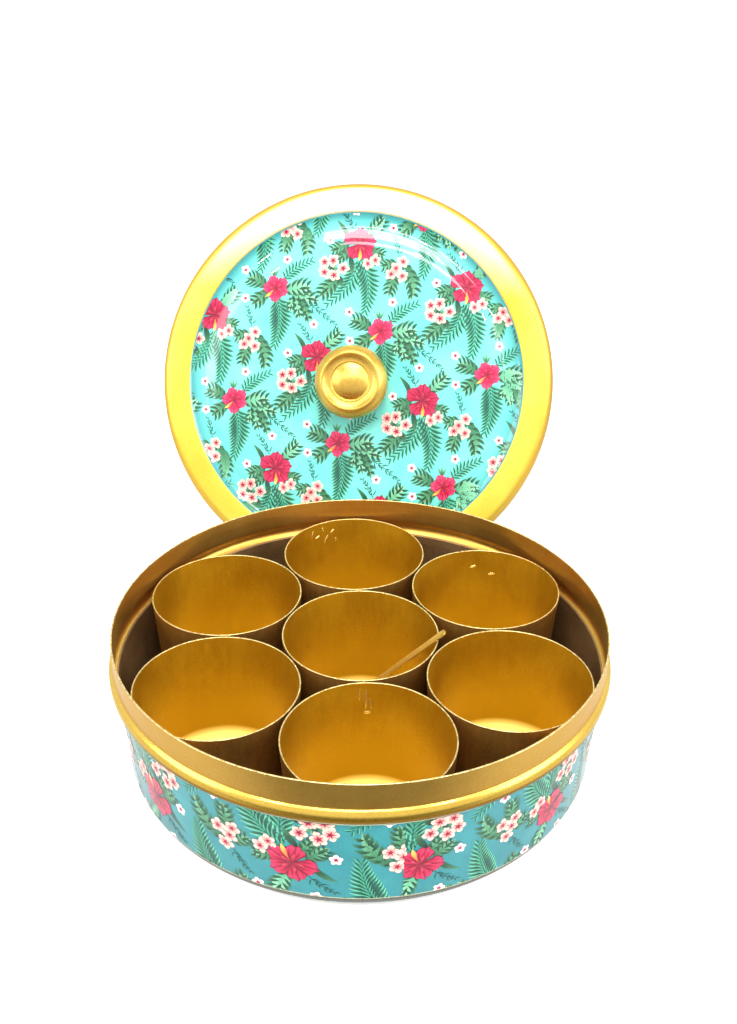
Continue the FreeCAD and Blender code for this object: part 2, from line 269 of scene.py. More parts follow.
class Nodes:
    """Builds one material's node tree."""

    def __init__(self, name, home=None):
        self.home = home
        self.material = bpy.data.materials.new(name)
        self.material.use_nodes = True
        self.tree = self.material.node_tree
        self.tree.nodes.clear()
        self.out = self.tree.nodes.new("ShaderNodeOutputMaterial")
        self.shader = self.tree.nodes.new("ShaderNodeBsdfPrincipled")
        self.link(self.shader.outputs[0], self.out.inputs["Surface"])

    def link(self, source, target):
        self.tree.links.new(source, target)

    def feed(self, target, value):
        """Sets a socket, to a colour when value is its hex, or links it when value is a socket."""
        if isinstance(value, bpy.types.NodeSocket):
            self.link(value, target)
        elif value is not None:
            target.default_value = colour(value) if isinstance(value, str) else value

    def node(self, kind, **settings):
        made = self.tree.nodes.new(kind)
        for key, value in settings.items():
            setattr(made, key, value)
        return made

    def place(self):
        """Position in the object's own frame, or in the frame home inside it, in millimetres."""
        texture = self.node("ShaderNodeTexCoord")
        source = texture.outputs["Object"]
        if self.home is not None:
            inside = self.node("ShaderNodeMapping", vector_type="TEXTURE")
            inside.inputs["Location"].default_value = self.home.translation
            inside.inputs["Rotation"].default_value = self.home.to_euler()
            self.link(source, inside.inputs["Vector"])
            source = inside.outputs[0]
        scale = self.node("ShaderNodeVectorMath", operation="SCALE")
        self.link(source, scale.inputs[0])
        scale.inputs["Scale"].default_value = 1 / MM
        return scale.outputs[0]

    def uv(self):
        """The two coordinates along and across a printed shape."""
        source = self.node("ShaderNodeUVMap", uv_map="shape")
        split = self.node("ShaderNodeSeparateXYZ")
        self.link(source.outputs[0], split.inputs[0])
        return split.outputs[0], split.outputs[1]

    def split(self, vector):
        made = self.node("ShaderNodeSeparateXYZ")
        self.link(vector, made.inputs[0])
        return made.outputs

    def join(self, x, y, z):
        made = self.node("ShaderNodeCombineXYZ")
        for target, value in zip(made.inputs, (x, y, z)):
            self.feed(target, value)
        return made.outputs[0]

    def math(self, operation, a, b=None):
        made = self.node("ShaderNodeMath", operation=operation)
        self.feed(made.inputs[0], a)
        self.feed(made.inputs[1], b)
        return made.outputs[0]

    def plus(self, a, b):
        return self.math("ADD", a, b)

    def times(self, a, b):
        return self.math("MULTIPLY", a, b)

    def noise(self, vector, scale, detail, rough):
        made = self.node("ShaderNodeTexNoise")
        self.link(vector, made.inputs["Vector"])
        made.inputs["Scale"].default_value = scale
        made.inputs["Detail"].default_value = detail
        made.inputs["Roughness"].default_value = rough
        return made.outputs[0]

    def ramp(self, value, stops):
        made = self.node("ShaderNodeValToRGB")
        self.feed(made.inputs[0], value)
        set_stops(made, [(position, colour(shade)) for position, shade in stops])
        return made.outputs[0]

    def spread(self, value, low, high, to_low=0.0, to_high=1.0):
        """value from low..high to to_low..to_high, held at the ends."""
        made = self.node("ShaderNodeMapRange", clamp=True)
        self.feed(made.inputs[0], value)
        for index, number in enumerate((low, high, to_low, to_high), start=1):
            made.inputs[index].default_value = number
        return made.outputs[0]

    def mix(self, factor, a, b):
        made = self.node("ShaderNodeMix", data_type="RGBA")
        self.feed(made.inputs[0], factor)
        self.feed(made.inputs[6], a)
        self.feed(made.inputs[7], b)
        return made.outputs[2]

    def bump(self, height, strength, distance, normal=None):
        made = self.node("ShaderNodeBump")
        made.inputs["Strength"].default_value = strength
        made.inputs["Distance"].default_value = distance * MM
        self.link(height, made.inputs["Height"])
        if normal is not None:
            self.link(normal, made.inputs["Normal"])
        return made.outputs[0]

    def set(self, **values):
        """Sets or links the shader's sockets by short names."""
        names = {
            "base": "Base Color",
            "metallic": "Metallic",
            "rough": "Roughness",
            "normal": "Normal",
            "coat": "Coat Weight",
            "coat_rough": "Coat Roughness",
            "coat_ior": "Coat IOR",
            "coat_normal": "Coat Normal",
            "specular": "Specular IOR Level",
            "emission": "Emission Color",
            "emission_strength": "Emission Strength",
        }
        for key, value in values.items():
            self.feed(self.shader.inputs[names[key]], value)


def polar(nodes, place):
    """(radius, angle * 10, height) of a place about the object's Z."""
    x, y, z = nodes.split(place)
    squares = nodes.plus(nodes.times(x, x), nodes.times(y, y))
    return nodes.math("SQRT", squares), nodes.times(nodes.math("ARCTAN2", y, x), 10.0), z


def gold(
    name,
    light,
    deep,
    rough,
    metallic,
    streaks="round",
    drawn=0.06,
    soft=0.10,
    home=None,
    shift=0.0,
    shade_and_light_bands=(),
    pale=None,
):
    """Metallic gold paint on sheet: soft clouds, faint drawing streaks, fine flakes and an orange-peel.

    drawn is how deep the streaks are, soft how gently light turns to deep, and shift turns the pattern
    about Z. Each band is (height, height, colour, metallic or None): the paint turns to that colour
    downwards between the two heights; such bands paint shade and pools of light low on a part. pale is
    (y, y, colour, edge colour): the paint pales up the lid's own Y on its flat rim as a painted highlight,
    and takes the edge colour round the rim's rounded edge as painted shade.
    """
    n = Nodes(name, home)
    place = n.place()
    if shift:
        turned = n.node("ShaderNodeVectorRotate", rotation_type="Z_AXIS")
        n.link(place, turned.inputs["Vector"])
        turned.inputs["Angle"].default_value = shift
        place = turned.outputs[0]
    radius, angle, height = polar(n, place)
    if streaks == "round":
        lines = n.join(radius, n.times(angle, 0.04), height)
    else:
        lines = n.join(n.times(angle, 1.6), n.times(radius, 0.08), n.times(height, 0.08))
    clouds = n.noise(place, 0.035, 3.0, 0.55)
    fine = n.noise(lines, 1.1, 4.0, 0.6)
    flakes = n.noise(place, 1.5, 3.0, 0.75)
    tone = n.plus(n.times(clouds, 0.36), n.times(fine, 0.14))
    tone = n.plus(tone, n.times(flakes, 0.5))
    base = n.mix(n.spread(tone, 0.5 - soft, 0.5 + soft), deep, light)
    # painted shade and painted pools of light, by height
    for bottom, top, band, metal in shade_and_light_bands:
        base = n.mix(n.spread(height, bottom, top, 1.0, 0.0), base, band)
        if metal is not None:
            metallic = n.spread(height, bottom, top, metal, metallic)
    # painted highlight up the lid's flat rim, and painted shade round its rounded edge
    if pale:
        low, high, top, edge = pale
        _, up, _ = n.split(place)
        flat = n.spread(radius, 104.0, 100.5)
        base = n.mix(n.times(n.spread(up, low, high), flat), base, top)
        base = n.mix(n.spread(radius, 101.5, 106.0, 0.0, 0.85), base, edge)
    shine = n.spread(fine, 0.3, 0.7, -0.03, 0.03)
    shine = n.plus(shine, n.spread(clouds, 0.3, 0.7, rough - 0.04, rough + 0.04))
    peel = n.bump(n.noise(place, 0.8, 2.0, 0.5), 0.25, 0.14)
    flecked = n.bump(flakes, 0.22, 0.08, peel)
    n.set(base=base, rough=shine, normal=n.bump(fine, drawn, 0.10, flecked), metallic=metallic)
    return n.material


def pale_edge_paint():
    """The cut edge of the painted sheet, in paler gold."""
    n = Nodes("pale_cut_edge")
    place = n.place()
    edge_mottle = n.noise(place, 0.6, 3.0, 0.6)
    n.set(
        base=n.ramp(edge_mottle, [(0.35, "#d4b568"), (0.65, "#f0dda4")]),
        rough=n.spread(edge_mottle, 0.3, 0.7, 0.22, 0.42),
        normal=n.bump(n.noise(place, 4.0, 2.0, 0.6), 0.2, 0.05),
        metallic=0.9,
    )
    return n.material


def plain_metal(name, dark, light):
    """Plain metal with fine scratches: a zinc coat, and the grey-green painted shade of the pan's foot."""
    n = Nodes(name)
    place = n.place()
    scratches = n.noise(place, 1.2, 4.0, 0.65)
    n.set(
        base=n.ramp(scratches, [(0.35, dark), (0.65, light)]),
        rough=n.spread(scratches, 0.3, 0.7, 0.22, 0.42),
        normal=n.bump(n.noise(place, 5.0, 3.0, 0.6), 0.2, 0.05),
        metallic=1.0,
    )
    return n.material


def gloss(n, place, grain, base):
    """Ink or film under the print's clear coat, which is slightly uneven."""
    waves = n.bump(n.noise(place, 0.075, 2.0, 0.5), 0.16, 0.8)
    n.set(
        base=base,
        rough=n.spread(grain, 0.3, 0.7, 0.36, 0.48),
        specular=0.15,
        coat=1.0,
        coat_rough=0.03,
        coat_ior=1.5,
        coat_normal=waves,
        normal=waves,
    )


def film(name, ground, deep, shade, edge=None, ring=None, home=None):
    """The printed film's ground under its clear coat, with a washed tone and fine dots.

    edge gives (low, high) heights with a pale cut line, ring the radii between which it turns to shade as
    painted shade.
    """
    n = Nodes(name, home)
    place = n.place()
    wash = n.noise(place, 0.045, 3.0, 0.55)
    dots = n.noise(place, 1.4, 2.0, 0.5)
    tone = n.plus(n.times(wash, 0.75), n.times(dots, 0.25))
    base = n.mix(n.spread(tone, 0.36, 0.64), deep, ground)
    radius, _, height = polar(n, place)
    # painted shade, darker towards the valley under the lid's rim
    if ring:
        inner, outer = ring
        base = n.mix(n.spread(radius, inner, outer, 0.0, 0.8), base, shade)
    if edge:
        low, high = edge
        near = n.math(
            "MINIMUM",
            n.math("ABSOLUTE", n.math("SUBTRACT", height, low)),
            n.math("ABSOLUTE", n.math("SUBTRACT", height, high)),
        )
        base = n.mix(n.spread(near, 0.3, 0.6, 1.0, 0.0), base, shade)
    gloss(n, place, dots, base)
    return n.material


def ink(name, start, mid, end, veins=0.0, ribs=4.0, lean=0.0, outline=0.0):
    """A printed colour that runs from start to end along each shape.

    veins is how strongly the start colour comes back in lines, ribs how many lines there are, lean how
    far they slant back from the middle rib, and outline how dark the shape's own edge is.
    """
    n = Nodes(name)
    place = n.place()
    along, across = n.uv()
    blot = n.noise(place, 0.9, 3.0, 0.6)
    shifted = n.plus(along, n.spread(blot, 0.3, 0.7, -0.125, 0.125))
    base = n.ramp(shifted, [(0.0, start), (0.5, mid), (1.0, end)])
    side = n.math("ABSOLUTE", n.math("SUBTRACT", across, 0.5))
    if veins:
        if lean:
            phase = n.plus(n.times(along, ribs), n.times(side, -lean))
        else:
            phase = n.plus(n.times(across, ribs), n.times(along, 0.15))
        wave = n.math("SINE", n.times(phase, math.tau))
        lines = n.times(n.spread(wave, 0.0, 0.8), n.spread(along, 0.45, 1.0, 1.0, 0.15))
        rib = n.math("MAXIMUM", lines, n.spread(side, 0.0, 0.08, 1.0, 0.0))
        base = n.mix(n.times(rib, veins), base, start)
    if outline:
        rim = n.math("MAXIMUM", n.spread(side, 0.36, 0.48), n.spread(along, 0.88, 0.98))
        base = n.mix(n.times(rim, outline), base, start)
    gloss(n, place, blot, base)
    return n.material


GOLD_PAN = gold("gold_pan", "#e2b65a", "#c89a42", 0.37, 0.96, drawn=0.03, soft=0.16)
# The bead's gold: a lighter, glossier copy of the pan's gold as a painted highlight, with a band of painted
# shade on its lower half.
GOLD_BEAD_LIT_AND_SHADED = gold(
    "gold_bead_lit_and_shaded",
    "#f4d060",
    "#dcb248",
    0.22,
    0.9,
    drawn=0.03,
    soft=0.16,
    shade_and_light_bands=[(51.3, 52.9, "#a47a18", None)],
)
# A darker, duller copy of the gold inside the pan: painted shade in the gaps between the cups.
GOLD_INSIDE_SHADED = gold("gold_inside_painted_shade", "#a8865a", "#806440", 0.46, 0.75)
GOLD_CUPS = [
    gold(
        f"gold_cup_{k + 1}",
        "#cca222",
        "#b08414",
        0.44,
        0.93,
        streaks="down",
        soft=0.14,
        shift=1.7 * k,
        # The first band is painted shade, darker down the lower wall; the second a painted pool of light,
        # pale yellow and less metallic round the floor's corner.
        shade_and_light_bands=[(12.0, 36.0, "#a27a12", None), (7.9, 11.0, "#ffe98c", 0.35)],
    )
    for k in range(len(CUPS))
]
# A darker copy of the cups' gold on their outsides: painted shade in the gaps between them.
GOLD_CUP_OUTSIDE_SHADED = gold("gold_cup_outside_painted_shade", "#c29046", "#9c7032", 0.42, 0.85, streaks="down")
GOLD_LID = gold(
    "gold_lid",
    "#fadb58",
    "#eec742",
    0.36,
    0.75,
    home=LID,
    # pale paints a highlight, whiter up the lid's flat rim, and shade in darker gold round the rim's
    # rounded edge.
    pale=(48.0, 104.0, "#fff8d8", "#b98a2c"),
)
GOLD_KNOB = gold("gold_knob", "#e4c260", "#cea042", 0.32, 0.85, home=LID)
# Paler, glossier gold for the raised drips: real drips of paint, with a painted glint in their paler
# colour.
GOLD_DRIP_GLINT = gold("gold_drip_glint", "#f4dc90", "#dcb858", 0.2, 0.8)
GOLD_SPOON = gold("gold_spoon", "#e6c872", "#c59a3c", 0.34, 0.85)
EDGE = pale_edge_paint()
STEEL = plain_metal("plain_steel", "#a8a8aa", "#d8d8da")
# Grey-green painted shade on the pan's rounded foot under the print.
FOOT_SHADE = plain_metal("foot_painted_shade", "#868c80", "#a6aa9c")
# The ring is painted shade, deeper teal towards the valley under the rim.
LID_FILM = film("lid_film", "#70cbbe", "#58bab0", "#2c7f88", ring=(83.0, 90.0), home=LID)
SIDE_FILM = film("side_film", "#33868b", "#28747a", "#b5b088", edge=(WRAP_LOW, WRAP_HIGH))

INKS = {
    "crimson": ink("ink_crimson", "#63031f", "#b50a3c", "#cf2c5a", veins=0.85, ribs=4.0, outline=0.7),
    "pink": ink("ink_pink", "#7c0628", "#c41c4c", "#dd4872", veins=0.8, ribs=4.0, outline=0.7),
    "stamen": ink("ink_stamen", "#c03c28", "#dc8030", "#efc25c"),
    "white": ink("ink_white", "#c4505c", "#e0b0a0", "#efd2c2", veins=0.45, ribs=3.0, outline=0.35),
    "pale": ink("ink_pale", "#d88c98", "#ecd6d0", "#f4e8e2", veins=0.25, ribs=3.0),
    "heart": ink("ink_heart", "#6e0a28", "#9c1a3a", "#c8485c"),
    "frond_light": ink("ink_frond_light", "#2f8a68", "#4ea884", "#6cc09c", veins=0.3, ribs=3.0),
    "frond_dark": ink("ink_frond_dark", "#0f3a34", "#184e42", "#276a58"),
    "leaf": ink("ink_leaf", "#245a40", "#4a8a62", "#74b088", veins=0.5, ribs=7.0, lean=6.0),
    "leaf_dark": ink("ink_leaf_dark", "#12301f", "#26563c", "#447c58", veins=0.4, ribs=7.0, lean=6.0),
    "leaf_pale": ink("ink_leaf_pale", "#4a9070", "#70b48c", "#96d0a8", veins=0.4, ribs=7.0, lean=6.0),
}
INK_ORDER = list(INKS)

# ---------------------------------------------------------------- the floral print

# One cell of the print, in millimetres from its small flower, repeats along these two steps. LARGE is the
# middle of its large flower.
CELL = (Vector((58.2, -20.6)), Vector((-20.0, -61.2)))
LARGE = Vector((24.4, -36.0))


def heading(degrees):
    """The direction at an angle on the flat print."""
    angle = math.radians(degrees)
    return Vector((math.cos(angle), math.sin(angle)))


def on_curve(points, t):
    """The place at t from the first of three points to the last, on a curve drawn to the middle one."""
    start, mid, end = points
    return start * (1 - t) ** 2 + mid * 2 * t * (1 - t) + end * t * t


class Print:
    """Collects flat shapes, each a grid of points with places along and across it.

    Shapes are drawn in millimetres on the flat print, and a higher layer lies over a lower one.
    """

    def __init__(self):
        self.shapes = []

    def add(self, rows, kind, layer):
        self.shapes.append((rows, kind, layer))

    def blade(self, base, tip, width, kind, layer, bend=0.0, fullness=0.45, teeth=0, rows=6, cols=3):
        """A leaf from base to tip: bend bows it, fullness is where it is widest, teeth frays its edge."""
        base, tip = Vector(base), Vector(tip)
        axis = tip - base
        side = Vector((-axis.y, axis.x)).normalized()
        power = math.log(0.5) / math.log(fullness)
        grid = []
        for i in range(rows + 1):
            t = i / rows
            half = width / 2 * math.sin(math.pi * t**power) ** 0.85 if 0 < t < 1 else width * 0.02
            if teeth and i % 2:
                half *= 1.0 - teeth
            centre = base + axis * t + side * (bend * math.sin(math.pi * t))
            row = []
            for j in range(cols):
                s = 2 * j / (cols - 1) - 1
                lag = -abs(s) * half * 0.35
                row.append((centre + side * (half * s) + axis.normalized() * lag, t, (s + 1) / 2))
            grid.append(row)
        self.add(grid, kind, layer)

    def leaf(self, base, tip, width, layer, bend=0.0, lobes=5, light="leaf"):
        """A leaf in deep lobes: a lighter body, and dark lobes slanting out from its rib on both sides."""
        base, tip = Vector(base), Vector(tip)
        axis = tip - base
        side = Vector((-axis.y, axis.x)).normalized()
        self.blade(base, tip, width * 0.84, light, layer, bend, teeth=0.16, rows=lobes * 2 + 2)
        for k in range(lobes):
            t = (k + 0.35) / (lobes + 0.5)
            here = base + axis * t + side * (bend * math.sin(math.pi * t))
            half = width * 0.62 * math.sin(math.pi * (0.16 + 0.76 * t))
            ahead = axis.normalized() * half * 0.85
            lobe = axis.length / lobes * 0.52
            for way in (1, -1):
                root = here + side * (half * way * 0.06)
                end = here + side * (half * way) + ahead
                self.blade(root, end, lobe, "leaf_dark", layer + 1, 0.14 * way * half, 0.55, rows=4)
        self.blade(base + axis * 0.5, tip, width * 0.2, "leaf_dark", layer + 1, bend * 0.3, rows=4)

    def petal(self, centre, angle, length, width, kind, layer, ruffle=0.0, tight=False):
        """A broad petal with a rounded, slightly ruffled end."""
        direction = Vector((math.cos(angle), math.sin(angle)))
        side = Vector((-direction.y, direction.x))
        rows, cols = (4, 4) if tight else (7, 8)
        grid = []
        for i in range(rows + 1):
            t = i / rows
            row = []
            for j in range(cols):
                s = 2 * j / (cols - 1) - 1
                half = width / 2 * (0.14 + 0.86 * math.sin(min(t * 1.2, 1.0) * math.pi / 2) ** 1.3)
                crest = 1.0 + ruffle * t * t * math.cos(s * 9.0 + angle * 5.0)
                reach = t * (1.0 - 0.36 * s * s * t**3) * crest
                spot = Vector(centre) + direction * (length * reach) + side * (half * s)
                row.append((spot, t, (s + 1) / 2))
            grid.append(row)
        self.add(grid, kind, layer)

    def hibiscus(self, centre, size, angles, kind, stamen, layer):
        """Five wide ruffled petals with dark veins, and the stamen over them."""
        centre = Vector(centre)
        for k, angle in enumerate(angles):
            length = size * (1.06 if k % 2 else 0.98)
            self.petal(centre, math.radians(angle), length, size * 0.92, kind, layer + k, ruffle=0.07)
        for angle in angles:
            tip = centre + heading(angle) * size * 0.5
            self.blade(centre, tip, size * 0.15, "heart", layer + 7, rows=4)
        way = heading(stamen)
        root, tip = centre + way * size * 0.1, centre + way * size * 1.02
        self.blade(root, tip, size * 0.2, "stamen", layer + 9, 0.4, 0.7)

    def blossom(self, centre, size, spin, layer, heart=1.0):
        """A small cream flower with five rounded petals and a red star in the middle."""
        centre = Vector(centre)
        for k in range(5):
            angle = math.radians(spin + 72 * k)
            length = size * (1.0 + 0.12 * math.sin(k * 2.3 + spin))
            self.petal(centre, angle, length, size * 0.80, "white", layer + k % 2, tight=True)
        for k in range(5):
            tip = centre + heading(spin + 72 * k) * size * 0.58 * heart
            self.blade(centre, tip, size * 0.22 * heart, "heart", layer + 3, rows=3, fullness=0.35)

    def daisy(self, centre, size, spin, layer):
        """A tiny white flower with a dark red middle."""
        centre = Vector(centre)
        for k in range(5):
            angle = math.radians(spin + 72 * k)
            self.petal(centre, angle, size, size * 0.78, "pale", layer, tight=True)
        for k in range(5):
            tip = centre + heading(spin + 72 * k) * size * 0.46
            self.blade(centre, tip, size * 0.24, "heart", layer + 2, rows=3, fullness=0.4)

    def frond(self, points, reach, count, layer, lean=42.0, taper=0.35):
        """A palm frond: a bowed rib with long leaflets on both sides, light ones with dark ones over them.

        lean is how far the last leaflets turn from the rib, in degrees, and taper how long they are.
        """
        points = [Vector(p) for p in points]
        rib = [on_curve(points, k / count) for k in range(count + 1)]
        for k in range(count):
            t = (k + 0.5) / count
            here = (rib[k] + rib[k + 1]) / 2
            way = (rib[k + 1] - rib[k]).normalized()
            size = reach * (1 - (1 - taper) * t) * (0.62 + 0.38 * math.sin(min(t * 2.4, 1.0) * math.pi / 2))
            for side in (1, -1):
                turned = Matrix.Rotation(math.radians(lean + 26 * (1 - t)) * side, 2) @ way
                tip = here + turned * size + way * size * 0.20
                self.blade(here, tip, size * 0.34, "frond_light", layer, -0.05 * side * size, rows=4)
                root, point = here + turned * size * 0.06, tip + way * size * 0.05
                bow = -0.10 * side * size
                self.blade(root, point, size * 0.20, "frond_dark", layer + 2, bow, 0.6, rows=4)
        for k in range(count):
            ahead = rib[k + 1] + (rib[k + 1] - rib[k]) * 0.3
            self.blade(rib[k], ahead, 0.8 * (1.2 - k / count), "frond_dark", layer + 3, rows=2)

    def sprig(self, points, leaves, size, layer):
        """A thin stem with small leaves and curling side shoots."""
        points = [Vector(p) for p in points]
        before = points[0]
        for k in range(1, leaves + 1):
            t = k / leaves
            here = on_curve(points, t)
            way = (here - before).normalized()
            self.blade(before, here + way * 0.3, 0.5, "frond_dark", layer, rows=2)
            for side in (1, -1):
                spread = 34 + 17 * math.sin(k * 2.7 + side)
                turned = Matrix.Rotation(math.radians(spread) * side, 2) @ way
                long = size * (1.15 - 0.5 * t) * (1.0 + 0.3 * math.sin(k * 4.1 + side * 2.0))
                tip = here + turned * long
                self.blade(here, tip, size * 0.2, "frond_dark", layer, 0.12 * side * long, rows=3)
            before = here


def print_cell():
    """The shapes of one cell of the print."""

    def at(x, y):
        """A place from the middle of the large flower."""
        return (LARGE.x + x, LARGE.y + y)

    p = Print()
    # small flower, its leaves and its fronds
    p.frond([(0.8, -5.0), (5.4, -16.0), (0.6, -31.0)], 9.6, 13, 1)
    p.frond([(4.4, 4.6), (8.5, 11.0), (19.0, 15.4)], 5.6, 9, 1, lean=46, taper=0.5)
    p.leaf((-5.0, 1.6), (-17.0, 5.0), 8.4, 5, bend=-0.8)
    p.leaf((-4.0, -2.0), (-13.2, -9.6), 7.6, 5, lobes=4)
    p.leaf((5.2, -1.0), (20.2, 0.8), 8.8, 7, bend=0.9, light="leaf_pale")
    p.leaf((8.5, -3.4), (25.0, -6.2), 7.0, 5, bend=0.5, light="leaf_pale")
    p.leaf((9.5, -4.2), (8.6, -12.6), 4.8, 5, lobes=3, light="leaf_pale")
    p.leaf((11.0, -4.6), (14.4, -16.4), 5.4, 5, lobes=4, light="leaf_pale")
    p.leaf((13.5, -5.0), (19.0, -18.6), 4.6, 5, bend=1.2, lobes=4)
    for x, y in ((-3.4, 10.6), (-1.2, 11.4), (1.4, 10.4)):
        p.blade((-1.0, 6.0), (x, y), 1.2, "leaf", 5, rows=4)
    p.sprig([(18.6, -8.4), (25.0, -10.5), (33.4, -18.4)], 7, 3.4, 4)
    p.hibiscus((0.0, 0.0), 7.1, (112, 38, -20, -92, 178), "pink", 222, 12)
    # large flower, its leaves, fronds, pair and bunch of blossoms
    p.frond([at(0.2, -7.0), at(9.0, -20.0), at(4.8, -36.0)], 9.6, 13, 3)
    p.frond([at(-0.9, -8.8), at(-1.0, -22.5), at(-16.2, -33.0)], 8.2, 12, 1)
    p.leaf(at(3.6, 5.0), at(12.8, 15.2), 7.6, 7, bend=-0.6, light="leaf_pale")
    p.blade(at(-6.4, 1.6), at(-12.9, 12.4), 2.6, "leaf_dark", 7, bend=-1.2)
    p.leaf(at(-5.6, -0.8), at(-16.0, -4.4), 7.6, 6)
    p.leaf(at(-4.4, -3.6), at(-12.4, -9.8), 5.6, 7, lobes=4)
    p.leaf(at(5.6, -3.0), at(14.4, -5.8), 6.0, 6, lobes=4)
    p.blade(at(-5.0, -6.6), at(-3.2, -17.0), 3.0, "leaf_dark", 9, bend=0.5)
    p.leaf(at(-10.4, -18.4), at(-21.0, -29.4), 8.4, 6)
    p.blade(at(-10.0, -17.4), at(-8.0, -23.4), 2.8, "leaf_dark", 6)
    p.sprig([at(-3.6, 7.0), at(-5.5, 12.0), at(-9.8, 16.8)], 6, 2.9, 4)
    p.hibiscus(LARGE, 9.1, (88, 150, 14, -52, -124), "crimson", -88, 14)
    for a, b in ((-17.6, -14.0), (-12.0, -12.0), (-15.0, -19.0), (-20.6, -13.0), (-9.6, -16.4)):
        p.blade(at(-14.6, -13.2), at(a * 1.12 + 1.6, b * 1.12 + 1.6), 3.6, "leaf", 9, rows=4)
    bunch = ((-18.4, -10.4), (-13.8, -9.4), (-18.2, -15.8), (-13.0, -17.2), (-8.2, -13.4))
    for number, (a, b) in enumerate(bunch):
        p.blossom(at(a, b), 3.5, 20 + 31 * number, 16 + 4 * (number % 2))
    for a, b in ((-15.2, -12.6), (-13.0, -14.8), (-15.6, -14.2)):
        p.blade(at(-14.2, -13.4), at(a, b), 1.2, "frond_dark", 24, rows=3)
    for number, (a, b) in enumerate(((4.9, -10.4), (8.9, -8.4))):
        p.blossom(at(a, b), 3.3, 50 + 40 * number, 16 + 4 * number, heart=0.8)
    # cluster with long leaves
    p.leaf(at(20.0, -9.0), at(11.4, -11.4), 6.6, 6, bend=0.6, lobes=4)
    p.leaf(at(20.4, -14.4), at(17.0, -27.6), 7.0, 6, bend=-0.5)
    p.leaf(at(25.0, -9.6), at(29.4, -29.2), 7.4, 6, bend=2.4, lobes=6)
    p.sprig([at(21.4, -6.0), at(21.2, -1.0), at(18.8, 4.2)], 6, 2.8, 4)
    for number, (a, b) in enumerate(((23.8, -8.6), (20.2, -12.2), (23.8, -16.2), (17.8, -15.4))):
        p.blossom(at(a, b), 3.4, 10 + 47 * number, 12 + 4 * (number % 2), heart=0.85)
    # single tiny flowers
    tiny = ((-17.5, 9.4), (21.8, -18.6), (8.4, -34.5), (-16.4, -6.0), (5.6, 15.5))
    for number, spot in enumerate(tiny):
        p.daisy(spot, 2.6, 17 * number, 12)
    return p.shapes


SHAPES = print_cell()

# How far the lowest inks stand over the film, and each layer over the one below.
FIRST_INK = 0.035
INK_STEP = 0.008


def lay_print(name, placings, surface, keep, matrix):
    """The print's inks as thin shapes just over the film.

    placings are (turn and scale matrix, offset, low, high), where low and high are the limits that keep
    uses. surface turns a place on the flat print and a height over it into a point and a normal, and keep
    holds a place inside the film's edges and says whether it was outside.
    """
    verts, normals, faces, inks, uvs = [], [], [], [], []
    for spin, offset, low, high in placings:
        for rows, kind, layer in SHAPES:
            flat = []
            for row in rows:
                for place, along, across in row:
                    spot, outside = keep(spin @ place + offset, low, high)
                    flat.append((spot, outside, along, across))
            if all(entry[1] for entry in flat):
                continue
            first = len(verts)
            cols = len(rows[0])
            for spot, _, along, across in flat:
                point, normal = surface(spot, FIRST_INK + INK_STEP * layer)
                verts.append(point)
                normals.append(normal)
            for i in range(len(rows) - 1):
                for j in range(cols - 1):
                    corners = [i * cols + j, i * cols + j + 1, (i + 1) * cols + j + 1, (i + 1) * cols + j]
                    if all(flat[c][1] for c in corners):
                        continue
                    a, b, c, _ = (verts[first + k] for k in corners)
                    face = [first + k for k in corners]
                    if (b - a).cross(c - a).dot(normals[first + corners[0]]) < 0:
                        face.reverse()
                        corners.reverse()
                    faces.append(face)
                    inks.append(INK_ORDER.index(kind))
                    uvs.extend((flat[k][2], flat[k][3]) for k in corners)
    mesh = bpy.data.meshes.new(name)
    mesh.from_pydata([tuple(c * MM for c in v) for v in verts], [], faces)
    uv_layer = mesh.uv_layers.new(name="shape")
    uv_layer.data.foreach_set("uv", [c for uv in uvs for c in uv])
    for material in INKS.values():
        mesh.materials.append(material)
    mesh.polygons.foreach_set("material_index", inks)
    mesh.polygons.foreach_set("use_smooth", [True] * len(faces))
    mesh.transform(matrix)
    turned = matrix.to_3x3()
    mesh.normals_split_custom_set_from_vertices([tuple(turned @ n) for n in normals])
    return stand(name, mesh)


# ---------------------------------------------------------------- pan and wrap


